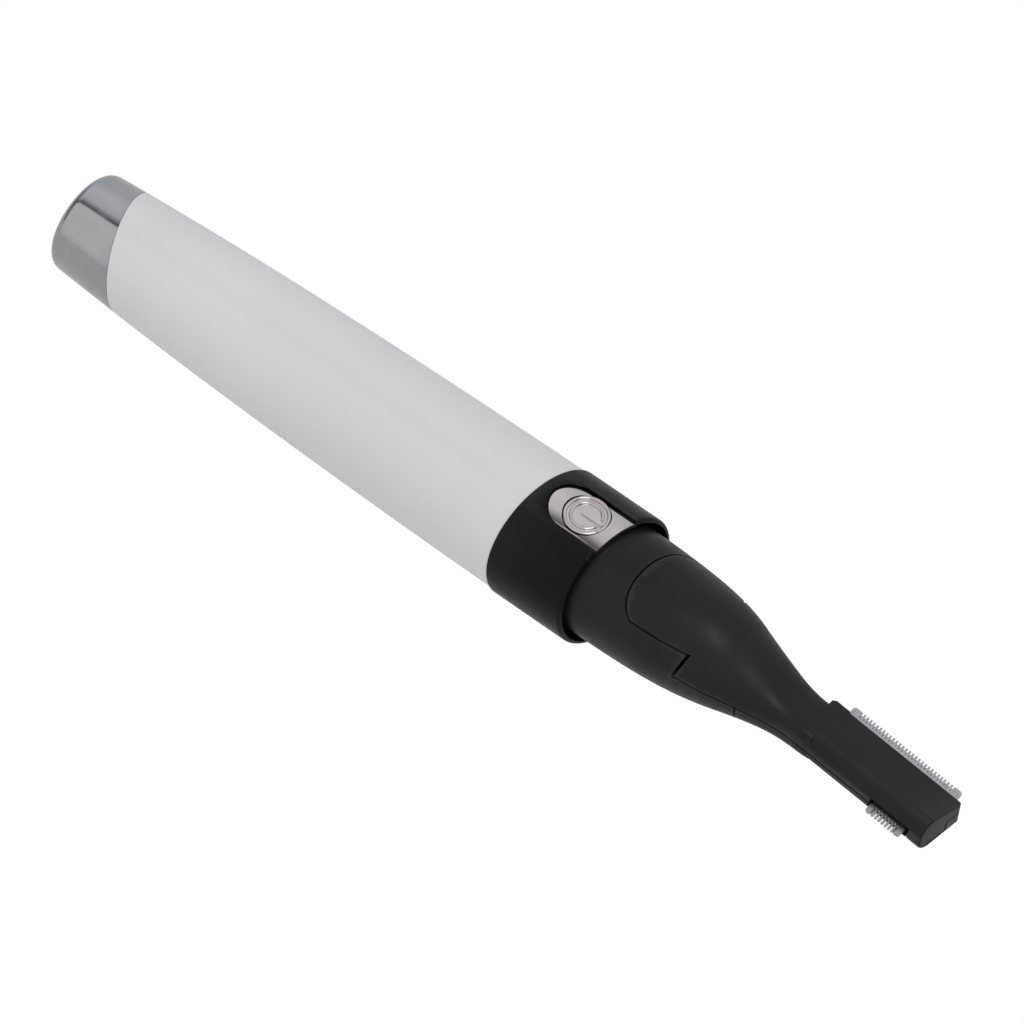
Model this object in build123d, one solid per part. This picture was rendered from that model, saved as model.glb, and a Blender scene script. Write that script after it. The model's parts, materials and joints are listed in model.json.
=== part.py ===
from build123d import *
import os
from math import atan2, copysign, cos, degrees, pi, radians, sin, sqrt, tan

# Battery nose, ear and brow trimmer. Millimetres.
# X runs along the handle from the tail to the blade tip, Z points out through the power button.
# The origin is on the axis inside the black collar.

# Collar: where its rims cross the axis, and how far a rim moves along X for each mm of Y and Z
COLLAR_R = 10.0
COLLAR_X = (-5.1, 7.1)
RIM_SLOPE = (0.15, -0.073)
COLLAR_CAVITY_R = 7.3
COLLAR_SPIGOT_R = 8.15
COLLAR_SPIGOT_X = (-10.0, -3.0)
BULKHEAD_X = (1.5, 2.5)
NECK_BORE_R = 7.47
COUNTERBORE_R = 9.4
COUNTERBORE_X = 4.5
SHAFT_HOLE_R = 1.9
COLLAR_ROUND = 0.5
COLLAR_CHAMFER = 0.12

# Barrel and tail cap share one outer profile of two arcs: (x, radius) from the collar to the tail
BARREL = ((-3.2, 9.76), (-50.0, 8.98), (-86.0, 7.15))
BARREL_START_SLOPE = 0.003
BARREL_WALL = 1.4
TAIL_X = -84.0
TAIL_ROUND = 1.6
CAP_SEAT_R = 6.3
CAP_SEAT_X = -68.0
CAP_SPIGOT_R = 6.22
CAP_BORE_R = 5.35
CAP_SPIGOT_X = (-80.0, -70.0)
CAP_SEAL_X = -71.6
SEAL_GROOVE = 0.6
SEAL_DEPTH = 0.47
JOINT_X = -75.3
JOINT_SLOPE = (-0.30, -0.177)
JOINT_GAP = 0.06

# AAA cell
CELL_R = 5.25
CELL_X = (-72.5, -28.8)
CELL_NUB_R = 1.9
CELL_NUB_LEN = 0.8

# Chassis that carries the cell and the motor
CHASSIS_R = 6.2
CHASSIS_X = (-69.5, -6.2)
CELL_POCKET_R = 5.4
CHASSIS_BULKHEAD_X = (-27.6, -26.0)
MOTOR_POCKET_X = -16.5
FLANGE_R = 7.2
FLANGE_X = (-8.2, -6.7)
CHASSIS_SPLIT = 0.03
WIRE_WAY_HALF_W = 1.3
WIRE_WAY_Z = (3.6, 4.6)
STRIP_WAY_HALF_W = 1.4
STRIP_WAY_Z = -5.85

# Metal strips and contacts
STRIP_THICK = 0.3
STRIP_HALF_W = 1.1
STRIP_Z = -6.2
TONGUE_Z = 4.0
CONTACT_R = 4.8
CAP_CONTACT_THICK = 0.35
AIR = 0.02

# Motor
MOTOR_R = 5.0
MOTOR_X = (-15.0, -0.5)
BELL_R = 4.7
BELL_X = (-16.4, -15.0)
SHAFT_R = 0.75
SHAFT_X = (-3.5, 8.2)
BEARING_R = 1.5
BEARING_X = (-1.5, 0.6)
RUNNING_GAP = 0.05

# Power button, its chrome surround and the switch below
BUTTON_X = 1.4
BUTTON_R = 3.2
BUTTON_ROUND = 0.2
BUTTON_TRAVEL = 0.4
BUTTON_Z = (8.4, 9.25)
RIM_R = 2.92
RIM_WIRE = 0.27
ICON_R = 2.1
ICON_WIRE = 0.25
ICON_GAP_HALF_W = 0.62
ICON_BAR_X = (-0.8, 2.62)
ICON_BAR_HALF_W = 0.26
BEZEL_R = (9.1, 9.6)
BEZEL_REAR = -4.0
BEZEL_HALF_W = 3.5
BEZEL_GAP = 0.16
STEM_X = -0.8
STEM_R = 0.9
SWITCH_HALF_W = 2.1
SWITCH_BOARD_X = (-5.2, 1.2)
SWITCH_BOARD_HALF_W = 4.25
SWITCH_BOARD_Z = (5.2, 5.8)
SWITCH_TOP_Z = 6.7
PLUNGER_Z = (6.35, 7.4)
PLUNGER_R = 0.8

# Drive cam: its slanted face pushes the cutter rod back and forth
CAM_R = 3.0
CAM_FACE_X = 9.0
CAM_HUB_R = 1.4
CAM_HUB_X = 3.2
STROKE = 0.5
FOLLOWER_RADIUS = 2.0
CAM_TILT = degrees(atan2(STROKE, FOLLOWER_RADIUS))

# Head: where its neck starts and its walls end inside
NECK_X = 4.6
NECK_WALL = 0.6
NECK_SPIGOT_END = 6.0
HOLLOW_X = 18.0

# Head: stations of the outer skin, from the neck to the waist.
# Each is x, half width, half height, centre height, squareness, fall of the top towards +Y.
HEAD_STATIONS = (
    (NECK_X, 8.50, 8.50, 0.00, 2.0, 0.0),
    (9.5, 8.46, 8.46, -0.02, 2.0, 0.0),
    (14.3, 8.32, 8.32, -0.04, 2.0, 0.0),
    (18.6, 8.04, 8.04, -0.05, 2.0, 0.0),
    (22.6, 7.56, 7.50, -0.07, 2.0, 0.0),
    (26.4, 6.80, 6.50, -0.25, 2.0, 0.05),
    (30.2, 5.66, 5.05, -0.65, 2.1, 0.20),
    (33.6, 4.68, 3.80, -1.00, 2.4, 0.45),
    (36.6, 4.00, 2.90, -1.38, 3.0, 0.75),
    (39.2, 3.80, 2.44, -1.62, 3.8, 1.00),
    (42.0, 3.70, 2.20, -1.95, 4.0, 1.00),
)
HEAD_WALL = 1.2
NECK_SPIGOT_R = 7.40
NECK_SPIGOT_X = BULKHEAD_X[1] + 0.1
NECK_SEAL_X = 3.6
NECK_BORE_INNER_R = 6.3
HEAD_BORE_R = 6.9

# Blade bar: a straight bar that droops from the waist, in its own frame (u along, y, w up)
DROOP = 8.3
BAR_FOOT = (40.0, 0.15, -4.05)
BAR_HALF_W = 3.9
BAR_WALL_H = 3.9
BAR_CREST = (-1.6, 5.4)
BAR_FOOT_RADIUS = 2.0
BAR_U = (-0.6, 23.0)
TIP_U = 21.2
TIP_LEAN = (0.1, -0.13)
TIP_ROUND = 0.4
UNDER_FOOT_W = -1.0
CHANNEL_U = (-4.0, 20.15)
CHANNEL_HALF_W = 2.8
CHANNEL_W = (0.9, 2.76)
SEAM_W = 2.45
SEAM_GAP = 0.26
HOOK_SLOT_W = 0.9
TONGUE_LEAN = 0.13
TONGUE_Y = -6.5
BACK_COVER_X = 31.0

# Seam of the top cover seen from the side: down the tongue's end, round to the hook, along to the waist
SEAM_TONGUE = (11.3, 8.7)
SEAM_BEND = (12.5, 6.45)
SEAM_HOOK = (14.4, 4.85)
SEAM_SHOULDER = (23.6, 4.55)
SEAM_REAR_X = 5.0
SEAM_WAIST_U = -17.9

# Where the top cover wraps down over the bar's end: y and w limits of the tongue, and where it starts
END_TONGUE_Y = (-2.6, 1.0)
END_TONGUE_W = (0.9, 3.0)
END_TONGUE_U = 20.2

# Ear that shields the heel of the long blade
GUARD_U = (-0.4, 2.2)
GUARD_Y = (2.0, 4.45)
GUARD_W = (0.8, 3.7)
GUARD_ROUND = 0.45

# Blades
COMB_W = (2.42, 2.70)
CUTTER_W = (2.10, 2.38)
TOOTH_PITCH = 0.54
SLOT_ROOT = 0.2
SLOT_TIP = 0.3
LONG_U = (1.8, 20.0)
LONG_ROOT_Y = 4.95
LONG_TIP_Y = 5.95
LONG_LUG = 1.2
SHORT_U = (12.3, 17.9)
SHORT_ROOT_Y = 4.0
SHORT_TIP_Y = 5.35
SHORT_LUG = 0.45
NOTCH_U = (11.9, 18.4)
NOTCH_Y = 2.5
NOTCH_W = (1.3, 3.4)

# Rivets join the cutter to its carrier; pins hold the comb to the top cover
RIVET_U = (6.0, 14.8)
RIVET_R = 0.6
PIN_U = (3.0, 18.6)
PIN_Y = 1.9
PIN_R = 0.5
PIN_TOP_W = 3.7

# Cutter rod
ROD_W = 1.75
ROD_R = 0.7
ROD_TIP_X = 10.2
ROD_BALL_R = 0.9
ROD_FRONT_U = -1.02
SHOULDER_R = 2.0
SHOULDER_U = (2.0, 3.0)
SPRING_R = 1.3
SPRING_WIRE = 0.3
SPRING_TURNS = 5
CARRIER_U = (-1.0, 17.5)
CARRIER_HALF_W = 1.3
CARRIER_THICK = 0.85
RIVET_DEPTH = 0.5
GUIDE_X = 19.5
GUIDE_THICK = 2.0
GUIDE_R = 6.3

LARGE = 60.0


def along_x(radius, x0, x1):
    """A cylinder on the X axis from x0 to x1."""
    return Pos((x0 + x1) / 2, 0, 0) * Rot(0, -90, 0) * Cylinder(radius, x1 - x0)


def ring_x(outer, inner, x0, x1):
    return along_x(outer, x0, x1) - along_x(inner, x0 - 1, x1 + 1)


def block(x, y, z):
    """A box given by its low and high corner along each axis."""
    size = (x[1] - x[0], y[1] - y[0], z[1] - z[0])
    return Pos((x[0] + x[1]) / 2, (y[0] + y[1]) / 2, (z[0] + z[1]) / 2) * Box(*size)


def post(radius, x, y, z0, z1):
    return Pos(x, y, (z0 + z1) / 2) * Cylinder(radius, z1 - z0)


def bar_plane():
    """The blade bar's frame: its X is along the bar, its Z is square to the bar's foot."""
    fall = radians(DROOP)
    along = (cos(fall), 0, -sin(fall))
    up = (sin(fall), 0, cos(fall))
    return Plane(origin=BAR_FOOT, x_dir=along, z_dir=up)


def on_bar(shape):
    return bar_plane().location * shape


def bar_point(u, w):
    """Side view (x, z) of the point u along the bar and w above its foot."""
    fall = radians(DROOP)
    return (
        BAR_FOOT[0] + u * cos(fall) + w * sin(fall),
        BAR_FOOT[2] - u * sin(fall) + w * cos(fall),
    )


# ---------------------------------------------------------------- handle


def barrel_envelope():
    """The solid outside of barrel and tail cap together, with a rounded flat tail."""
    start, middle, end = BARREL
    front_arc = TangentArc(start, middle, tangent=(-1, -BARREL_START_SLOPE))
    rear_arc = TangentArc(middle, end, tangent=front_arc % 1)
    outline = [
        front_arc,
        rear_arc,
        Line(end, (end[0], 0)),
        Line((end[0], 0), (start[0], 0)),
        Line((start[0], 0), start),
    ]
    body = revolve(make_face(outline), axis=Axis.X) & ahead_of(TAIL_X, (0, 0))
    return fillet(body.faces().sort_by(Axis.X)[0].edges(), TAIL_ROUND)


def barrel_bore():
    """The hollow inside the barrel: two cones, then straight where the cap seats."""
    front, middle = [(x, r - BARREL_WALL) for x, r in BARREL[:2]]
    seat = (CAP_SEAT_X, CAP_SEAT_R)
    mouth = (-LARGE * 2, CAP_SEAT_R)
    outline = Polyline(
        (0, 0), (0, front[1]), front, middle, seat, mouth, (mouth[0], 0), close=True
    )
    return revolve(make_face(outline), axis=Axis.X)


def ahead_of(x, slope):
    """All space ahead of a plane that crosses the axis at x and moves along X with Y and Z."""
    plane = Plane(origin=(x, 0, 0), z_dir=(1, -slope[0], -slope[1]))
    return plane.location * Pos(0, 0, LARGE) * Box(4 * LARGE, 4 * LARGE, 2 * LARGE)


def handle_tube():
    tube = barrel_envelope() - barrel_bore()
    return (tube & ahead_of(JOINT_X, JOINT_SLOPE)) - ahead_of(COLLAR_X[0], RIM_SLOPE)


def grooved_spigot(radius, x0, x1, groove_x):
    """A cylinder from x0 to x1 with a groove for a sealing ring round groove_x."""
    half = SEAL_GROOVE / 2
    rear = along_x(radius, x0, groove_x - half)
    waist = along_x(radius - SEAL_DEPTH, groove_x - half, groove_x + half)
    return rear + waist + along_x(radius, groove_x + half, x1)


def sealing_ring(radius, groove_x):
    """The ring in such a groove; it stands a hair proud of the spigot."""
    wire = SEAL_DEPTH / 2 + 0.005
    return Pos(groove_x, 0, 0) * Rot(0, 90, 0) * Torus(radius - SEAL_DEPTH / 2 + 0.02, wire)


def end_cap():
    shell = barrel_envelope() - ahead_of(JOINT_X - JOINT_GAP, JOINT_SLOPE)
    spigot = grooved_spigot(CAP_SPIGOT_R, CAP_SPIGOT_X[0] - 1, CAP_SPIGOT_X[1], CAP_SEAL_X)
    return shell + spigot - along_x(CAP_BORE_R, *CAP_SPIGOT_X)


def cap_seal():
    return sealing_ring(CAP_SPIGOT_R, CAP_SEAL_X)


def cap_contact():
    """The metal washer in the cap that the spring stands on."""
    floor = CAP_SPIGOT_X[0] + AIR
    return ring_x(CAP_BORE_R - 0.15, 1.0, floor, floor + CAP_CONTACT_THICK)


def coil(radius, top_radius, length, turns, wire):
    """A helical spring standing on its base along +Z."""
    cone = degrees(atan2(top_radius - radius, length))
    path = Helix(pitch=length / turns, height=length, radius=radius, cone_angle=cone)
    section = Plane(origin=path @ 0, z_dir=path % 0) * Circle(wire / 2)
    return sweep(section, path=path)


def battery_spring():
    wire = 0.6
    start = CAP_SPIGOT_X[0] + CAP_CONTACT_THICK + wire / 2 + 2 * AIR
    length = CELL_X[0] - wire / 2 - AIR - start
    return Pos(start, 0, 0) * Rot(0, 90, 0) * coil(4.3, 2.4, length, 4, wire)


def aaa_battery():
    can = along_x(CELL_R, *CELL_X)
    can = fillet(can.edges().filter_by(GeomType.CIRCLE), 0.35)
    nub = along_x(CELL_NUB_R, CELL_X[1] - 0.1, CELL_X[1] + CELL_NUB_LEN)
    return can + nub


def chassis():
    body = along_x(CHASSIS_R, *CHASSIS_X) + along_x(FLANGE_R, *FLANGE_X)
    body -= along_x(CELL_POCKET_R, CHASSIS_X[0] - 1, CHASSIS_BULKHEAD_X[0])
    body -= along_x(CELL_POCKET_R, CHASSIS_BULKHEAD_X[1], MOTOR_POCKET_X)
    body -= along_x(MOTOR_R + 0.06, MOTOR_POCKET_X - 1, CHASSIS_X[1] + 1)
    through = (CHASSIS_BULKHEAD_X[0] - 1, CHASSIS_BULKHEAD_X[1] + 1)
    wire_way = block(through, (-WIRE_WAY_HALF_W, WIRE_WAY_HALF_W), WIRE_WAY_Z)
    full = (CHASSIS_X[0] - 1, CHASSIS_X[1] + 1)
    strip_way = block(full, (-STRIP_WAY_HALF_W, STRIP_WAY_HALF_W), (-LARGE, STRIP_WAY_Z))
    return body - wire_way - strip_way


def chassis_cradle():
    return chassis() & block((-LARGE * 2, LARGE), (-LARGE, LARGE), (-LARGE, -CHASSIS_SPLIT))


def chassis_cover():
    return chassis() & block((-LARGE * 2, LARGE), (-LARGE, LARGE), (CHASSIS_SPLIT, LARGE))


def positive_contact():
    """Disc that the cell's nub presses on, with a tongue that passes forward over the bulkhead."""
    face = CELL_X[1] + CELL_NUB_LEN + AIR
    disc = along_x(CONTACT_R, face, face + STRIP_THICK)
    tongue_z = (TONGUE_Z, TONGUE_Z + STRIP_THICK)
    return disc + block((face, BELL_X[0] - 1.0), (-STRIP_HALF_W, STRIP_HALF_W), tongue_z)


def negative_strip():
    """Long strip under the cell, from the cap's rim to the motor."""
    strip_z = (STRIP_Z, STRIP_Z + STRIP_THICK)
    return block((CHASSIS_X[0], MOTOR_POCKET_X), (-STRIP_HALF_W, STRIP_HALF_W), strip_z)


def motor_can():
    can = along_x(MOTOR_R, *MOTOR_X)
    can = fillet(can.edges().filter_by(GeomType.CIRCLE).sort_by(Axis.X)[-1], 0.6)
    can -= along_x(BEARING_R + AIR, BEARING_X[0], LARGE)
    return can - along_x(SHAFT_R + 0.2, SHAFT_X[0] - 0.5, LARGE)


def motor_bearing():
    return ring_x(BEARING_R, SHAFT_R + RUNNING_GAP, *BEARING_X)


def motor_end_bell():
    return along_x(BELL_R, *BELL_X)


def motor_terminals():
    """Two solder lugs behind the motor."""
    along = (BELL_X[0] - 2.6, BELL_X[0])
    return [block(along, (y - 0.2, y + 0.2), (-1.0, 1.0)) for y in (-2.6, 2.6)]


def motor_shaft():
    return along_x(SHAFT_R, *SHAFT_X)


def drive_cam():
    """Hub and disc; the disc's front face is cut at a slant, high on the +Z side at rest."""
    blank = along_x(CAM_HUB_R, CAM_HUB_X, CAM_FACE_X - 2)
    blank += along_x(CAM_R, CAM_FACE_X - 2.6, CAM_FACE_X + 2)
    slant = Plane(origin=(CAM_FACE_X, 0, 0), z_dir=(1, 0, -tan(radians(CAM_TILT))))
    cutter = slant.location * Pos(0, 0, 10) * Box(40, 40, 20)
    return blank - cutter - along_x(SHAFT_R + 0.01, CAM_HUB_X - 1, SHAFT_X[1] + 0.02)


# ---------------------------------------------------------------- collar and button


def shield(grow):
    """Column over the chrome surround in plan: round at the rear, straight at its sides."""
    half = BEZEL_HALF_W + grow
    nose = BEZEL_REAR + BEZEL_HALF_W
    outline = [
        ThreePointArc((nose, half), (nose - half, 0), (nose, -half)),
        Line((nose, -half), (LARGE, -half)),
        Line((LARGE, -half), (LARGE, half)),
        Line((LARGE, half), (nose, half)),
    ]
    return extrude(make_face(outline), LARGE)


def button_bezel():
    plate = shield(0) & ring_x(BEZEL_R[1], BEZEL_R[0], BEZEL_REAR - 1, LARGE)
    plate -= ahead_of(COLLAR_X[1] - 0.1, RIM_SLOPE)
    return plate - post(BUTTON_R + 0.08, BUTTON_X, 0, 0, LARGE)


def collar():
    sleeve = along_x(COLLAR_R, COLLAR_X[0] - 3, COLLAR_X[1] + 3)
    sleeve = (sleeve & ahead_of(COLLAR_X[0], RIM_SLOPE)) - ahead_of(COLLAR_X[1], RIM_SLOPE)
    sleeve = fillet(sleeve.faces().sort_by(Axis.X)[-1].edges(), COLLAR_ROUND)
    sleeve = chamfer(sleeve.faces().sort_by(Axis.X)[0].edges(), COLLAR_CHAMFER)
    body = sleeve + along_x(COLLAR_SPIGOT_R, *COLLAR_SPIGOT_X)
    body -= along_x(COLLAR_CAVITY_R, COLLAR_SPIGOT_X[0] - 1, BULKHEAD_X[0])
    body -= along_x(NECK_BORE_R, BULKHEAD_X[1], LARGE)
    body -= along_x(COUNTERBORE_R, COUNTERBORE_X, LARGE)
    body -= along_x(SHAFT_HOLE_R, 0, LARGE)
    body -= shield(BEZEL_GAP) - along_x(BEZEL_R[0] - 0.04, BEZEL_REAR - 1, LARGE)
    button_floor = BUTTON_Z[0] - BUTTON_TRAVEL - 0.08
    body -= post(BUTTON_R + 0.15, BUTTON_X, 0, button_floor, LARGE)
    return body - post(STEM_R + 0.1, STEM_X, 0, SWITCH_TOP_Z, LARGE)


def power_button():
    """Round chrome cap with a raised rim, an inner ring broken towards the head, and a bar in the gap."""
    z0, z1 = BUTTON_Z
    cap = post(BUTTON_R, BUTTON_X, 0, z0, z1)
    cap = fillet(cap.edges().filter_by(GeomType.CIRCLE).sort_by(Axis.Z)[-1], BUTTON_ROUND)
    rim = Pos(BUTTON_X, 0, z1) * Torus(RIM_R, RIM_WIRE)
    ring = Pos(BUTTON_X, 0, z1) * Torus(ICON_R, ICON_WIRE)
    bar_z = (z1 - 0.1, z1 + ICON_WIRE)
    gap = block((BUTTON_X, BUTTON_X + BUTTON_R), (-ICON_GAP_HALF_W, ICON_GAP_HALF_W), (z1, z1 + 1))
    bar_x = [BUTTON_X + x for x in ICON_BAR_X]
    bar = block(bar_x, (-ICON_BAR_HALF_W, ICON_BAR_HALF_W), bar_z)
    bar = fillet(bar.edges().filter_by(Axis.Z), 0.9 * ICON_BAR_HALF_W)
    stem = post(STEM_R, STEM_X, 0, PLUNGER_Z[1] + 0.01, z0 + 0.1)
    return cap + rim + (ring - gap) + bar + stem


def switch_board():
    return block(SWITCH_BOARD_X, (-SWITCH_BOARD_HALF_W, SWITCH_BOARD_HALF_W), SWITCH_BOARD_Z)


def switch_body():
    along = (STEM_X - SWITCH_HALF_W, STEM_X + SWITCH_HALF_W)
    base = SWITCH_BOARD_Z[1] + 0.01
    case = block(along, (-SWITCH_HALF_W, SWITCH_HALF_W), (base, SWITCH_TOP_Z))
    return case - post(PLUNGER_R + 0.06, STEM_X, 0, base + 0.1, LARGE)


def switch_plunger():
    return post(PLUNGER_R, STEM_X, 0, *PLUNGER_Z)


# ---------------------------------------------------------------- head shells


def section_point(angle, half_w, half_h, centre_z, square, fall):
    """A point of a rounded-square section whose top falls towards +Y."""
    c = copysign(abs(cos(angle)) ** (2 / square), cos(angle))
    s = copysign(abs(sin(angle)) ** (2 / square), sin(angle))
    z = centre_z + half_h * s
    if s > 0:
        z -= fall * c * s
    return (half_w * c, z)


def head_section(station, inset):
    x, half_w, half_h, centre_z, square, fall = station
    count = 24
    points = [
        section_point(2 * pi * k / count, half_w - inset, half_h - inset, centre_z, square, fall)
        for k in range(count)
    ]
    ring = Spline(*[(x, y, z) for y, z in points], periodic=True)
    return make_face(ring)


def bar_solid():
    """The straight blade bar: a flat foot, an upright wall at +Y, a rounded back at -Y."""
    crest_y, crest_w = BAR_CREST
    back = -BAR_HALF_W
    foot_r = BAR_FOOT_RADIUS
    back_r = crest_y - back
    half = sqrt(0.5)
    outline = [
        Line((BAR_HALF_W, 0), (back + foot_r, 0)),
        ThreePointArc(
            (back + foot_r, 0),
            (back + foot_r * (1 - half), foot_r * (1 - half)),
            (back, foot_r),
        ),
        Line((back, foot_r), (back, crest_w - back_r)),
        ThreePointArc(
            (back, crest_w - back_r),
            (back + back_r * (1 - half), crest_w - back_r * (1 - half)),
            (crest_y, crest_w),
        ),
        Line((crest_y, crest_w), (BAR_HALF_W, BAR_WALL_H)),
        Line((BAR_HALF_W, BAR_WALL_H), (BAR_HALF_W, 0)),
    ]
    face = Plane(origin=(BAR_U[0], 0, 0), x_dir=(0, 1, 0), z_dir=(1, 0, 0)) * make_face(outline)
    bar = extrude(face, BAR_U[1] - BAR_U[0])
    bar -= ahead_of(TIP_U, TIP_LEAN)
    bar = fillet(bar.faces().sort_by(Axis.X)[-1].edges(), TIP_ROUND)
    return on_bar(bar)


def blade_guard():
    """Flat ear on the +Y side that shields the heel of the long blade."""
    ear = block(GUARD_U, GUARD_Y, GUARD_W)
    outer = ear.faces().sort_by(Axis.Y)[-1]
    return on_bar(fillet(outer.edges(), GUARD_ROUND))


def head_skin():
    body = loft([head_section(s, 0) for s in HEAD_STATIONS])
    return body + bar_solid() + blade_guard()


def head_cavity():
    stations = [s for s in HEAD_STATIONS if s[0] > HOLLOW_X]
    hollow = loft([head_section(s, HEAD_WALL) for s in stations[:-1]])
    throat = along_x(HEAD_BORE_R, NECK_X + NECK_WALL, stations[0][0] + 0.2)
    mouth = along_x(NECK_BORE_INNER_R, NECK_SPIGOT_X - 1, NECK_SPIGOT_END)
    channel = block(CHANNEL_U, (-CHANNEL_HALF_W, CHANNEL_HALF_W), CHANNEL_W)
    return hollow + throat + mouth + on_bar(channel)


def blade_openings():
    """The slot that the long blade stands out of, and the notch around the short blade."""
    slot_w = (CUTTER_W[0] - 0.14, COMB_W[1] + 0.08)
    slot = block((LONG_U[0] - 0.7, CHANNEL_U[1]), (0, LARGE), slot_w)
    notch = block(NOTCH_U, (-LARGE, -NOTCH_Y), NOTCH_W)
    return on_bar(slot + notch)


def above_seam(grow):
    """The space above the long seam, seen from the side."""
    rear = (SEAM_REAR_X, SEAM_HOOK[1])
    waist = bar_point(SEAM_WAIST_U, SEAM_W)
    far = bar_point(LARGE, SEAM_W)
    top = [(far[0], LARGE), (rear[0], LARGE)]
    face = make_face(Polyline(rear, SEAM_HOOK, SEAM_SHOULDER, waist, far, *top, close=True))
    if grow:
        face = offset(face, grow)
    return extrude(Plane.XZ * face, LARGE, both=True)


def ahead_of_tongue(grow):
    """The space ahead of the cover's rounded rear end, which leans forward towards +Y."""
    start = (SEAM_TONGUE[0], LARGE)
    foot = (SEAM_HOOK[0], -LARGE)
    outline = [
        Line(start, SEAM_TONGUE),
        ThreePointArc(SEAM_TONGUE, SEAM_BEND, SEAM_HOOK),
        Polyline(SEAM_HOOK, foot, (2 * LARGE, -LARGE), (2 * LARGE, LARGE), start),
    ]
    face = make_face(outline)
    if grow:
        face = offset(face, grow)
    lean = (TONGUE_LEAN, 1, 0)
    return Pos(-TONGUE_LEAN * TONGUE_Y, 0, 0) * extrude(Plane.XZ * face, LARGE, dir=lean, both=True)


def hook_slot():
    """The wider gap where the long seam steps down towards the waist."""
    (x0, z0), (x1, z1) = SEAM_SHOULDER, bar_point(SEAM_WAIST_U, SEAM_W)
    run = sqrt((x1 - x0) ** 2 + (z1 - z0) ** 2)
    turn = degrees(atan2(z1 - z0, x1 - x0))
    slot = Pos((x0 + x1) / 2, (z0 + z1) / 2) * Rot(0, 0, turn) * SlotCenterToCenter(run, HOOK_SLOT_W)
    return extrude(Plane.XZ * slot, LARGE, both=True)


def cover_region(grow):
    """All that belongs to the top cover."""
    region = above_seam(grow) & ahead_of_tongue(grow)
    (y0, y1), (w0, w1) = END_TONGUE_Y, END_TONGUE_W
    tongue = block((END_TONGUE_U - grow, LARGE), (y0 - grow, y1 + grow), (w0 - grow, w1))
    corner = block((NOTCH_U[1] - grow, LARGE), (-LARGE, y0 + grow), (UNDER_FOOT_W, w1))
    return region + on_bar(tongue + corner)


def head_shell():
    neck = grooved_spigot(NECK_SPIGOT_R, NECK_SPIGOT_X, NECK_SPIGOT_END, NECK_SEAL_X)
    shell = head_skin() + neck - head_cavity() - blade_openings()
    for u in PIN_U:
        shell -= on_bar(post(PIN_R + 0.01, u, PIN_Y, CHANNEL_W[0], PIN_TOP_W))
    return shell


def head_pieces():
    shell = head_shell()
    cover = shell & cover_region(0)
    lower = shell - cover_region(SEAM_GAP) - hook_slot()
    base = lower & block((-LARGE, BACK_COVER_X), (-LARGE, LARGE), (-LARGE, LARGE))
    back = lower & block((BACK_COVER_X + SEAM_GAP, 2 * LARGE), (-LARGE, LARGE), (-LARGE, LARGE))
    return base, cover, back


def neck_seal():
    return sealing_ring(NECK_SPIGOT_R, NECK_SEAL_X)


# ---------------------------------------------------------------- blades and rod


def tooth_slots(u0, u1, root, tip, side):
    """Tapered gaps between the teeth, as faces in plan; side is +1 or -1 in Y."""
    count = int((u1 - u0) / TOOTH_PITCH)
    start = (u0 + u1) / 2 - (count - 1) * TOOTH_PITCH / 2
    slots = []
    for k in range(count):
        u = start + k * TOOTH_PITCH
        slots.append(
            make_face(
                Polyline(
                    (u - SLOT_ROOT / 2, side * root),
                    (u + SLOT_ROOT / 2, side * root),
                    (u + SLOT_TIP / 2, side * (tip + 0.2)),
                    (u - SLOT_TIP / 2, side * (tip + 0.2)),
                    close=True,
                )
            )
        )
    return slots


def blade_plate(shrink, tip_cut, levels):
    """A thin plate with long teeth at +Y and short teeth at -Y."""
    u0, u1 = LONG_U[0] + shrink, LONG_U[1] - shrink
    s0, s1 = SHORT_U[0] + shrink, SHORT_U[1] - shrink
    long_tip = LONG_TIP_Y - tip_cut
    short_tip = SHORT_TIP_Y - tip_cut
    body = Pos((u0 + u1) / 2, (long_tip - 2.4) / 2) * RectangleRounded(u1 - u0, long_tip + 2.4, 0.45)
    arm = Pos((s0 + s1) / 2, -short_tip / 2) * RectangleRounded(s1 - s0, short_tip, 0.4)
    plate = body + arm
    cuts = tooth_slots(u0 + LONG_LUG, u1 - LONG_LUG, LONG_ROOT_Y, long_tip, 1)
    cuts += tooth_slots(s0 + SHORT_LUG, s1 - SHORT_LUG, SHORT_ROOT_Y, short_tip, -1)
    for cut in cuts:
        plate -= cut
    solid = extrude(plate, levels[1] - levels[0])
    return Pos(0, 0, levels[0]) * solid


def fixed_comb():
    plate = blade_plate(0, 0, COMB_W)
    for u in PIN_U:
        plate -= post(PIN_R + 0.01, u, PIN_Y, 0, 5)
    return on_bar(plate)


def comb_pins():
    """Pegs that hold the comb to the top cover."""
    return [on_bar(post(PIN_R, u, PIN_Y, COMB_W[0], PIN_TOP_W)) for u in PIN_U]


def moving_cutter():
    plate = blade_plate(0.65, 0.3, CUTTER_W)
    for u in RIVET_U:
        plate -= post(RIVET_R + 0.01, u, 0, 0, 5)
    for u in PIN_U:
        plate -= block((u - 1.2, u + 1.2), (1.2, 2.6), (0, 5))
    return on_bar(plate)


def cutter_rivets():
    return [on_bar(post(RIVET_R, u, 0, CUTTER_W[0] - RIVET_DEPTH, CUTTER_W[1])) for u in RIVET_U]


def cutter_carrier():
    top = CUTTER_W[0] - 0.01
    bar = block(CARRIER_U, (-CARRIER_HALF_W, CARRIER_HALF_W), (top - CARRIER_THICK, top))
    for u in RIVET_U:
        bar -= post(RIVET_R + 0.01, u, 0, CUTTER_W[0] - RIVET_DEPTH, LARGE)
    return on_bar(bar)


def rod_tip_u():
    return (ROD_TIP_X - BAR_FOOT[0] - ROD_W * sin(radians(DROOP))) / cos(radians(DROOP))


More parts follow.
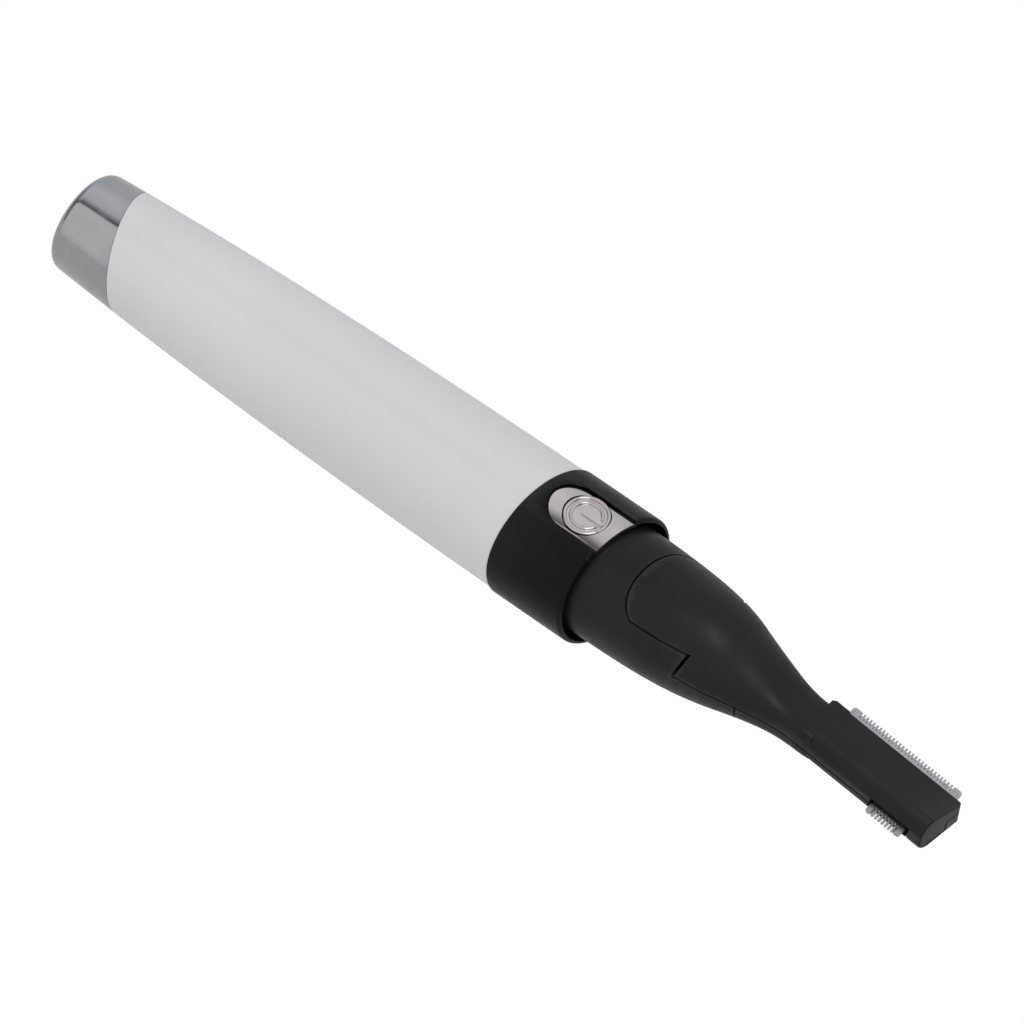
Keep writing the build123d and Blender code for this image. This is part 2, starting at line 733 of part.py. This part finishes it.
def along_u(radius, u0, u1):
    return Pos((u0 + u1) / 2, 0, ROD_W) * Rot(0, 90, 0) * Cylinder(radius, u1 - u0)


def cutter_rod():
    """Rod with a ball tip that rides on the cam and a shoulder that the spring pushes on."""
    tip = rod_tip_u()
    centre = tip + ROD_BALL_R
    rod = along_u(ROD_R, centre, ROD_FRONT_U)
    ball = Pos(centre, 0, ROD_W) * Sphere(ROD_BALL_R)
    shoulder = along_u(SHOULDER_R, tip + SHOULDER_U[0], tip + SHOULDER_U[1])
    return on_bar(rod + ball + shoulder)


def guide_u():
    return (GUIDE_X - BAR_FOOT[0]) / cos(radians(DROOP))


def rod_guide():
    """Disc across the head with a hole for the rod."""
    disc = along_x(GUIDE_R, GUIDE_X - GUIDE_THICK / 2, GUIDE_X + GUIDE_THICK / 2)
    return disc - on_bar(along_u(ROD_R + RUNNING_GAP, guide_u() - 5, guide_u() + 5))


def rod_spring():
    start = rod_tip_u() + SHOULDER_U[1] + SPRING_WIRE / 2 + AIR
    end = guide_u() - GUIDE_THICK / 2 - 0.45 - SPRING_WIRE / 2
    spring = coil(SPRING_R, SPRING_R, end - start, SPRING_TURNS, SPRING_WIRE)
    return on_bar(Pos(start, 0, ROD_W) * Rot(0, 90, 0) * spring)


# ---------------------------------------------------------------- output


def build():
    base, cover, back = head_pieces()
    return {
        "handle_tube": handle_tube(),
        "end_cap": end_cap(),
        "cap_seal": cap_seal(),
        "cap_contact": cap_contact(),
        "battery_spring": battery_spring(),
        "aaa_battery": aaa_battery(),
        "chassis_cradle": chassis_cradle(),
        "chassis_cover": chassis_cover(),
        "positive_contact": positive_contact(),
        "negative_strip": negative_strip(),
        "motor_can": motor_can(),
        "motor_bearing": motor_bearing(),
        "motor_end_bell": motor_end_bell(),
        "motor_terminals": motor_terminals(),
        "motor_shaft": motor_shaft(),
        "drive_cam": drive_cam(),
        "collar": collar(),
        "button_bezel": button_bezel(),
        "power_button": power_button(),
        "switch_board": switch_board(),
        "switch_body": switch_body(),
        "switch_plunger": switch_plunger(),
        "head_base": base,
        "head_top_cover": cover,
        "head_back_cover": back,
        "neck_seal": neck_seal(),
        "rod_guide": rod_guide(),
        "fixed_comb": fixed_comb(),
        "comb_pins": comb_pins(),
        "moving_cutter": moving_cutter(),
        "cutter_carrier": cutter_carrier(),
        "cutter_rivets": cutter_rivets(),
        "cutter_rod": cutter_rod(),
        "rod_spring": rod_spring(),
    }


def main():
    os.makedirs("parts", exist_ok=True)
    for name, shape in build().items():
        if isinstance(shape, list):
            solids = [s for piece in shape for s in piece.solids()]
        else:
            solids = shape.solids()
        body = solids[0] if len(solids) == 1 else Compound(children=solids)
        export_step(body, "parts/" + name + ".step")


main()
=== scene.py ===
import json
import math

import bpy
from mathutils import Matrix, Vector


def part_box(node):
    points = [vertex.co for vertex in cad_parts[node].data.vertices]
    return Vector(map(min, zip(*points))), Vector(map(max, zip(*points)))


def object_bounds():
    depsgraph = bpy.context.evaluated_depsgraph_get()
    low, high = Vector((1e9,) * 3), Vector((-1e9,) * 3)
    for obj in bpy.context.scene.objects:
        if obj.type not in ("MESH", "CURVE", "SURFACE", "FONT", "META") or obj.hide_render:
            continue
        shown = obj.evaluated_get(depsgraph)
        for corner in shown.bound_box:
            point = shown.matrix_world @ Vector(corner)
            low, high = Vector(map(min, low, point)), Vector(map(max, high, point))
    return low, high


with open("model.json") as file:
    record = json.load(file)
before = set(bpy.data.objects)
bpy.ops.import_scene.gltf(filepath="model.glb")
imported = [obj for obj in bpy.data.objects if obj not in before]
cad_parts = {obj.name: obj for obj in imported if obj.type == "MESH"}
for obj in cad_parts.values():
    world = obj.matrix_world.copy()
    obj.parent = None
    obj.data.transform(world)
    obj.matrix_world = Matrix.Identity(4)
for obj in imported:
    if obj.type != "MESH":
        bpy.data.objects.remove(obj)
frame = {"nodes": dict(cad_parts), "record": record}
cad_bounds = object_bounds()

# The camera looks down on the button side, from ahead of the collar and from the short blade's side.
AIM = Vector((-0.0090, -0.0018, 0.0027))
CAMERA_DISTANCE = 1.1746
CAMERA_AZIMUTH = 33.28
CAMERA_ELEVATION = 52.27
CAMERA_ROLL = 6.91
CAMERA_LENS = 316.4
SENSOR = 36.0

FLOOR_SIZE = 6.0
FLOOR_DROP = 0.0002
FLOOR_LIGHT = 0.60
MM = 0.001


# ---------------------------------------------------------------- node helpers


class Look:
    """One material's node tree, with short calls for the nodes that the finishes share."""

    def __init__(self, name):
        self.material = bpy.data.materials.new(name)
        self.material.use_nodes = True
        self.tree = self.material.node_tree
        self.shader = self.tree.nodes["Principled BSDF"]
        self.place = self.add("ShaderNodeTexCoord").outputs["Object"]

    def add(self, kind, **settings):
        node = self.tree.nodes.new(kind)
        for key, value in settings.items():
            setattr(node, key, value)
        return node

    def put(self, socket, value):
        """Sets a socket, or links it where the value is another node's output."""
        if isinstance(value, bpy.types.NodeSocket):
            self.tree.links.new(value, socket)
        else:
            socket.default_value = value

    def set(self, **sockets):
        """Sets the shader's sockets; an underscore stands for a space."""
        for name, value in sockets.items():
            self.put(self.shader.inputs[name.replace("_", " ")], value)
        return self

    def stretched(self, stretch):
        node = self.add("ShaderNodeMapping")
        self.put(node.inputs["Vector"], self.place)
        node.inputs["Scale"].default_value = stretch
        return node.outputs["Vector"]

    def noise(self, size, detail=3.0, stretch=(1, 1, 1), rough=0.5):
        """Noise whose blobs are about size metres across, shrunk along each axis by stretch."""
        node = self.add("ShaderNodeTexNoise")
        self.put(node.inputs["Vector"], self.stretched(stretch))
        node.inputs["Scale"].default_value = 1 / size
        node.inputs["Detail"].default_value = detail
        node.inputs["Roughness"].default_value = rough
        return node.outputs["Fac"]

    def speckle(self, size, stretch=(1, 1, 1)):
        """Distance from scattered points that are about size metres apart, in units of size."""
        node = self.add("ShaderNodeTexVoronoi")
        self.put(node.inputs["Vector"], self.stretched(stretch))
        node.inputs["Scale"].default_value = 1 / size
        return node.outputs["Distance"]

    def math(self, operation, a, b=0.0):
        node = self.add("ShaderNodeMath", operation=operation)
        self.put(node.inputs[0], a)
        self.put(node.inputs[1], b)
        return node.outputs[0]

    def span(self, value, low, high, to_low=0.0, to_high=1.0):
        """Maps low..high onto to_low..to_high, clamped, with soft ends."""
        node = self.add("ShaderNodeMapRange", interpolation_type="SMOOTHSTEP")
        self.put(node.inputs["Value"], value)
        for key, number in zip(("From Min", "From Max", "To Min", "To Max"), (low, high, to_low, to_high)):
            node.inputs[key].default_value = number
        return node.outputs["Result"]

    def axis(self, index):
        node = self.add("ShaderNodeSeparateXYZ")
        self.put(node.inputs[0], self.place)
        return node.outputs[index]

    def blend(self, share, first, second):
        node = self.add("ShaderNodeMix", data_type="RGBA")
        self.put(node.inputs["Factor"], share)
        self.put(node.inputs["A"], first if isinstance(first, bpy.types.NodeSocket) else (*first, 1))
        self.put(node.inputs["B"], second if isinstance(second, bpy.types.NodeSocket) else (*second, 1))
        return node.outputs["Result"]

    def edges(self, low=0.52, high=0.60):
        """About 1 along the piece's outer edges and 0 elsewhere."""
        return self.span(self.add("ShaderNodeNewGeometry").outputs["Pointiness"], low, high)

    def bumps(self, *layers):
        """Stacks (height, depth in metres) layers into the shader's normal."""
        normal = None
        for height, depth in layers:
            node = self.add("ShaderNodeBump")
            node.inputs["Strength"].default_value = 1.0
            node.inputs["Distance"].default_value = depth
            self.put(node.inputs["Height"], height)
            if normal:
                self.put(node.inputs["Normal"], normal)
            normal = node.outputs["Normal"]
        self.put(self.shader.inputs["Normal"], normal)
        return self


# ---------------------------------------------------------------- finishes


def brighter(colour, factor):
    return tuple(min(1, factor * channel) for channel in colour)


def white_shell():
    """Glossy white ABS: faint orange peel, a little handling haze, hairline scratches along the barrel."""
    look = Look("white_shell")
    cloud = look.noise(22 * MM, 4)
    dust = look.span(look.speckle(1.6 * MM), 0.03, 0.07, 1, 0)
    tone = look.blend(look.span(cloud, 0.35, 0.7), (0.775, 0.775, 0.772), (0.800, 0.800, 0.796))
    tone = look.blend(look.math("MULTIPLY", dust, 0.10), tone, (0.62, 0.61, 0.59))
    scratch = look.span(look.noise(0.5 * MM, 2, (0.02, 1, 1)), 0.62, 0.70)
    rough = look.span(look.noise(6 * MM, 5), 0.3, 0.7, 0.26, 0.36)
    look.set(Base_Color=tone, Roughness=look.math("ADD", rough, look.math("MULTIPLY", scratch, 0.06)))
    look.set(IOR=1.53, Coat_Weight=0.12, Coat_Roughness=0.12)
    return look.bumps((look.noise(1.3 * MM, 2), 4e-6), (look.noise(0.16 * MM, 2), 0.6e-6))


def black_satin(name, base, light, rough, grain, gloss):
    """Black ABS with a spark-eroded satin grain; the edges are painted lighter, a painted reflection of the
    bright surroundings at the rims.
    """
    look = Look(name)
    cloud = look.noise(9 * MM, 4)
    dust = look.span(look.speckle(1.1 * MM), 0.025, 0.06, 1, 0)
    tone = look.blend(look.span(cloud, 0.35, 0.7), base, light)
    # painted reflection: the edges are lightened in the base colour for the bright rim that grazing
    # reflection gives
    tone = look.blend(look.math("MULTIPLY", look.edges(), 0.45), tone, (0.05, 0.05, 0.051))
    tone = look.blend(look.math("MULTIPLY", dust, 0.20), tone, (0.10, 0.10, 0.10))
    wear = look.noise(3.5 * MM, 5)
    look.set(Base_Color=tone, Roughness=look.span(wear, 0.3, 0.7, rough - 0.04, rough + 0.05))
    look.set(IOR=1.5, Specular_IOR_Level=gloss)
    return look.bumps((look.noise(grain, 2), grain * 0.03), (look.noise(1.6 * MM, 2), 3e-6))


def chrome(name, base, tint, rough):
    """Chrome plating on plastic: soft ripples, fine wiping scratches and small dull spots."""
    look = Look(name)
    haze = look.noise(5 * MM, 5)
    wipe = look.span(look.noise(0.35 * MM, 3, (0.05, 1, 1)), 0.56, 0.68)
    look.set(Base_Color=look.blend(look.span(haze, 0.35, 0.7), base, tint), Metallic=1.0)
    spread = look.span(haze, 0.3, 0.7, rough, rough + 0.05)
    look.set(Roughness=look.math("ADD", spread, look.math("MULTIPLY", wipe, 0.06)))
    return look.bumps((look.noise(4 * MM, 2), 14e-6), (wipe, 0.5e-6))


def ground_steel():
    """Stainless blade stock with grinding lines across the teeth."""
    look = Look("blade_steel")
    lines = look.noise(0.09 * MM, 4, (1, 0.06, 1))
    cloud = look.noise(3 * MM, 4)
    tone = look.blend(look.span(lines, 0.3, 0.7), (0.36, 0.365, 0.37), (0.56, 0.565, 0.57))
    tone = look.blend(look.span(cloud, 0.5, 0.8, 0, 0.3), tone, (0.40, 0.39, 0.38))
    look.set(Base_Color=tone, Metallic=1.0, Roughness=look.span(lines, 0.3, 0.7, 0.26, 0.42))
    return look.bumps((lines, 2e-6))


def drawn_metal(name, base, worn, rough, grain=0.12 * MM):
    """Bare metal strip or wire: drawing marks, a cloudy oxide and brighter edges."""
    look = Look(name)
    cloud = look.noise(2.5 * MM, 5)
    lines = look.noise(grain, 3, (0.08, 1, 1))
    tone = look.blend(look.span(cloud, 0.35, 0.7), base, worn)
    tone = look.blend(look.math("MULTIPLY", look.edges(), 0.5), tone, brighter(base, 1.35))
    look.set(Base_Color=tone, Metallic=1.0)
    look.set(Roughness=look.span(lines, 0.3, 0.7, rough - 0.06, rough + 0.08))
    return look.bumps((lines, 2e-6))


def moulded(name, base, light, rough, coat=0.0):
    """Unseen moulded plastic: flow clouding, a fine grain and pale edges."""
    look = Look(name)
    tone = look.blend(look.span(look.noise(4 * MM, 4), 0.35, 0.7), base, light)
    tone = look.blend(look.math("MULTIPLY", look.edges(), 0.3), tone, brighter(light, 1.6))
    wear = look.noise(1.5 * MM, 4)
    look.set(Base_Color=tone, Roughness=look.span(wear, 0.3, 0.7, rough - 0.05, rough + 0.06))
    look.set(Coat_Weight=coat)
    return look.bumps((look.noise(0.14 * MM, 3), 3e-6))


def seal_rubber():
    """Black nitrile with a dusty bloom."""
    look = Look("seal_rubber")
    bloom = look.noise(0.8 * MM, 5)
    tone = look.blend(look.span(bloom, 0.45, 0.75), (0.014, 0.014, 0.014), (0.05, 0.049, 0.047))
    look.set(Base_Color=tone)
    look.set(Roughness=look.span(bloom, 0.3, 0.7, 0.55, 0.75))
    return look.bumps((look.noise(0.1 * MM, 3), 3e-6))


def circuit_board():
    """Green lacquered board with darker copper runs under the lacquer."""
    look = Look("board")
    runs = look.add("ShaderNodeTexBrick", offset=0.5)
    look.put(runs.inputs["Vector"], look.place)
    runs.inputs["Scale"].default_value = 700
    runs.inputs["Mortar Size"].default_value = 0.12
    tone = look.blend(runs.outputs["Fac"], (0.015, 0.10, 0.04), (0.03, 0.19, 0.07))
    look.set(Base_Color=tone, Roughness=look.span(look.noise(1 * MM), 0.3, 0.7, 0.25, 0.38))
    look.set(Coat_Weight=0.4)
    return look.bumps((runs.outputs["Fac"], 12e-6))


def cell_jacket():
    """Plain printed foil: graphite body, a blue band at the front and bare steel at both ends."""
    look = Look("cell_jacket")
    rear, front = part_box("aaa_battery")
    along = look.axis(0)
    length = front.x - rear.x
    band = look.span(along, front.x - 0.30 * length, front.x - 0.29 * length)
    bare = look.math("MAXIMUM", look.span(along, front.x - 1.5 * MM, front.x - 1.3 * MM),
                     look.span(along, rear.x + 0.7 * MM, rear.x + 0.9 * MM, 1, 0))
    scuff = look.span(look.noise(0.4 * MM, 4, (0.15, 1, 1)), 0.58, 0.7)
    tone = look.blend(band, (0.028, 0.030, 0.034), (0.03, 0.10, 0.26))
    tone = look.blend(look.math("MULTIPLY", scuff, 0.25), tone, (0.30, 0.31, 0.33))
    tone = look.blend(bare, tone, (0.55, 0.55, 0.54))
    look.set(Base_Color=tone, Metallic=look.span(bare, 0, 1, 0.35, 1.0))
    look.set(Roughness=look.span(scuff, 0, 1, 0.24, 0.40))
    return look.bumps((look.noise(1.0 * MM, 2), 3e-6))


def finishes():
    black, dark = (0.0075, 0.0075, 0.0078), (0.0105, 0.0105, 0.0108)
    collar, collar_haze = (0.0025, 0.0025, 0.0026), (0.004, 0.004, 0.0041)
    return {
        "white_shell": white_shell(),
        "chrome_plate": chrome("chrome_plate", (0.435, 0.450, 0.462), (0.475, 0.490, 0.500), 0.07),
        "button_chrome": chrome("button_chrome", (0.62, 0.56, 0.565), (0.68, 0.62, 0.62), 0.08),
        "black_shell": black_satin("black_shell", black, dark, 0.42, 0.14 * MM, 0.27),
        "collar_black": black_satin("collar_black", collar, collar_haze, 0.34, 0.16 * MM, 0.14),
        "inner_plastic": moulded("inner_plastic", (0.07, 0.07, 0.075), (0.10, 0.10, 0.105), 0.45),
        "cam_plastic": moulded("cam_plastic", (0.70, 0.69, 0.64), (0.78, 0.77, 0.73), 0.35, 0.15),
        "blade_steel": ground_steel(),
        "spring_steel": drawn_metal("spring_steel", (0.50, 0.50, 0.51), (0.36, 0.36, 0.37), 0.30),
        "contact_brass": drawn_metal("contact_brass", (0.72, 0.55, 0.28), (0.56, 0.40, 0.20), 0.30),
        "bearing_brass": drawn_metal("bearing_brass", (0.55, 0.40, 0.20), (0.40, 0.28, 0.14), 0.40),
        "motor_steel": drawn_metal("motor_steel", (0.50, 0.51, 0.53), (0.40, 0.41, 0.42), 0.34, 0.5 * MM),
        "board": circuit_board(),
        "seal_rubber": seal_rubber(),
        "cell_jacket": cell_jacket(),
    }


def dress_nodes():
    """Gives each CAD node the finish of its material slot; the collar has a deeper black of its own."""
    looks = finishes()
    for subpart in frame["record"]["subparts"]:
        name = subpart["node"]
        key = "collar_black" if name == "collar" else subpart["material_slot"]
        data = frame["nodes"][name].data
        data.materials.clear()
        data.materials.append(looks[key].material)


# ---------------------------------------------------------------- stage, light and camera


def floor():
    """A pale floor that glows evenly, as a lit seamless sheet does."""
    low = cad_bounds[0]
    bpy.ops.mesh.primitive_plane_add(size=FLOOR_SIZE, location=(0, 0, low.z - FLOOR_DROP))
    plane = bpy.context.object
    plane.name = "floor"
    material = bpy.data.materials.new("floor")
    material.use_nodes = True
    tree = material.node_tree
    tree.nodes.clear()
    glow = tree.nodes.new("ShaderNodeEmission")
    rays = tree.nodes.new("ShaderNodeLightPath")
    level = tree.nodes.new("ShaderNodeMapRange")
    level.inputs["To Min"].default_value = FLOOR_LIGHT
    level.inputs["To Max"].default_value = 1.0
    end = tree.nodes.new("ShaderNodeOutputMaterial")
    tree.links.new(rays.outputs["Is Camera Ray"], level.inputs["Value"])
    tree.links.new(level.outputs["Result"], glow.inputs["Strength"])
    tree.links.new(glow.outputs["Emission"], end.inputs["Surface"])
    plane.data.materials.append(material)


# Brightness of the surrounding studio by its angle about the handle's axis, from straight down
# by way of the camera's side: a softbox on that side, the dark gap at its upper edge, then a pale wall.
STUDIO = (
    (0.000, (0.52, 0.55, 0.58)),
    (0.185, (0.60, 0.64, 0.67)),
    (0.192, (0.05, 0.05, 0.06)),
    (0.204, (0.05, 0.05, 0.06)),
    (0.211, (0.62, 0.66, 0.69)),
    (0.250, (0.66, 0.69, 0.71)),
    (0.290, (0.78, 0.78, 0.78)),
    (0.476, (0.80, 0.80, 0.80)),
    (0.480, (0.10, 0.10, 0.10)),
    (0.488, (0.14, 0.14, 0.15)),
    (0.525, (0.66, 0.69, 0.72)),
    (0.600, (0.76, 0.78, 0.80)),
    (0.680, (0.60, 0.64, 0.67)),
    (1.000, (0.52, 0.55, 0.58)),
)


def studio():
    world = bpy.data.worlds.new("studio")
    bpy.context.scene.world = world
    world.use_nodes = True
    tree = world.node_tree
    tree.nodes.clear()
    place = tree.nodes.new("ShaderNodeTexCoord")
    split = tree.nodes.new("ShaderNodeSeparateXYZ")
    turn = tree.nodes.new("ShaderNodeMath")
    turn.operation = "ARCTAN2"
    share = tree.nodes.new("ShaderNodeMapRange")
    share.inputs["From Min"].default_value = -math.pi
    share.inputs["From Max"].default_value = math.pi
    ramp = tree.nodes.new("ShaderNodeValToRGB")
    stops = ramp.color_ramp.elements
    while len(stops) < len(STUDIO):
        stops.new(0.5)
    for stop, (place_along, colour) in zip(stops, STUDIO):
        stop.position = place_along
        stop.color = (*colour, 1)
    lengthways = tree.nodes.new("ShaderNodeMath")
    lengthways.operation = "ABSOLUTE"
    fade = tree.nodes.new("ShaderNodeMapRange")
    fade.inputs["From Min"].default_value = 0.78
    fade.inputs["From Max"].default_value = 0.93
    fade.inputs["To Min"].default_value = 1.0
    fade.inputs["To Max"].default_value = 0.3
    glow = tree.nodes.new("ShaderNodeBackground")
    end = tree.nodes.new("ShaderNodeOutputWorld")
    tree.links.new(place.outputs["Generated"], split.inputs[0])
    tree.links.new(split.outputs["Y"], turn.inputs[0])
    tree.links.new(split.outputs["Z"], turn.inputs[1])
    tree.links.new(turn.outputs[0], share.inputs["Value"])
    tree.links.new(share.outputs["Result"], ramp.inputs["Fac"])
    tree.links.new(ramp.outputs["Color"], glow.inputs["Color"])
    tree.links.new(split.outputs["X"], lengthways.inputs[0])
    tree.links.new(lengthways.outputs[0], fade.inputs["Value"])
    tree.links.new(fade.outputs["Result"], glow.inputs["Strength"])
    tree.links.new(glow.outputs["Background"], end.inputs["Surface"])


def softbox(name, place, size, power):
    """A rectangular area light that points at the object; its size is given along X and across."""
    data = bpy.data.lights.new(name, "AREA")
    data.shape = "RECTANGLE"
    data.size, data.size_y = size
    data.energy = power
    lamp = bpy.data.objects.new(name, data)
    lamp.location = place
    lamp.rotation_euler = (AIM - Vector(place)).to_track_quat("-Z", "Y").to_euler()
    bpy.context.scene.collection.objects.link(lamp)
    return lamp


def camera():
    azimuth, elevation = math.radians(CAMERA_AZIMUTH), math.radians(CAMERA_ELEVATION)
    level = math.cos(elevation)
    back = Vector((math.sin(azimuth) * level, -math.cos(azimuth) * level, math.sin(elevation)))
    data = bpy.data.cameras.new("camera")
    data.lens = CAMERA_LENS
    data.sensor_width = SENSOR
    eye = bpy.data.objects.new("camera", data)
    turn = (-back).to_track_quat("-Z", "Y").to_matrix() @ Matrix.Rotation(math.radians(CAMERA_ROLL), 3, "Z")
    eye.matrix_world = Matrix.Translation(AIM + back * CAMERA_DISTANCE) @ turn.to_4x4()
    bpy.context.scene.collection.objects.link(eye)
    bpy.context.scene.camera = eye


bpy.context.scene.view_settings.view_transform = "Standard"
camera()
floor()
studio()
softbox("overhead", (0.32, -0.11, 1.15), (0.55, 0.3), 2.2)
dress_nodes()
